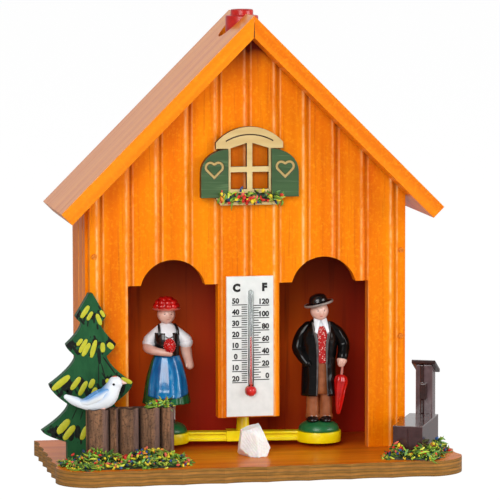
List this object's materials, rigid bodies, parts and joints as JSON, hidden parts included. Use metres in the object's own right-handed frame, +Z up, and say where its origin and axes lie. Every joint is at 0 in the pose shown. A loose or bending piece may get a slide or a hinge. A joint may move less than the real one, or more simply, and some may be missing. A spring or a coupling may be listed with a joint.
{
  "type": "weather house",
  "caption": "Small wooden weather house with a pitched roof: a beam on a gut string swings its figures in and out of two arched doorways, beside a thermometer, on a base with a small garden.",
  "frame": {"origin": "middle of the base board's underside", "axes": "+Z up, +X to the right seen from the front, +Y to the back"},
  "size_m": [0.1476, 0.072, 0.1626],
  "materials": {
    "base_ply": "stained plywood, satin lacquer",
    "orange_wood": "orange stain, gloss lacquer",
    "back_ply": "stained plywood",
    "roof_wood": "orange stain, gloss lacquer",
    "pin_metal": "bright pin heads",
    "screw_steel": "zinc plated",
    "plain_wood": "bare wood",
    "red_plastic": "gloss red",
    "collar_brass": "turned",
    "gut": "twisted gut",
    "yellow_plastic": "moulded yellow",
    "green_plastic": "moulded green",
    "figure_paint": "hand painted",
    "coat_paint": "hand painted",
    "white_plate": "white plate, printed scale",
    "clear_glass": "clear capillary",
    "red_fluid": "dyed spirit",
    "cream_wood": "pale limewood",
    "green_wood": "green stain",
    "moss": "dyed dried moss",
    "tree_paint": "painted cut-out",
    "bark_wood": "weathered bark",
    "bird_white": "painted",
    "brown_plastic": "moulded brown",
    "white_stone": "rough quartz"
  },
  "bodies": {
    "house": {"base_board": "base_ply", "front_panel": "orange_wood", "left_wall": "orange_wood", "right_wall": "orange_wood", "back_panel": "back_ply", "roof_left": "roof_wood", "roof_right": "roof_wood", "panel_pins": "pin_metal", "base_screws": "screw_steel", "suspension_block": "plain_wood", "thermometer_plate": "white_plate", "thermometer_tube": "clear_glass", "thermometer_fluid": "red_fluid", "window_frame": "cream_wood", "shutter_left": "green_wood", "shutter_right": "green_wood", "window_flowers": "moss", "fir_tree": "tree_paint", "fence_backing": "bark_wood", "fence_logs": "bark_wood", "fence_flowers": "moss", "bird": "bird_white", "flowers_left": "moss", "flowers_right": "moss", "trough": "brown_plastic", "fountain_post": "brown_plastic", "post_cap": "brown_plastic", "spout": "brown_plastic", "quartz_stone": "white_stone"},
    "knob": {"chimney_knob": "red_plastic", "knob_collar": "collar_brass"},
    "beam": {"gut_string": "gut", "figure_beam": "yellow_plastic", "woman_base": "green_plastic", "woman_figure": "figure_paint", "bouquet": "red_plastic", "man_base": "green_plastic", "man_figure": "coat_paint", "umbrella": "red_plastic"}
  },
  "joints": [
    {"name": "chimney_turn", "type": "hinge", "parent": "house", "child": "knob", "pos_m": [0, 0.0105, 0.15], "axis": [0, 0, 1], "range_deg": [-8, 8]},
    {"name": "figures_swing", "type": "hinge", "parent": "knob", "child": "beam", "pos_m": [0, 0.0105, 0.02], "axis": [0, 0, 1], "range_deg": [-10, 22]}
  ]
}
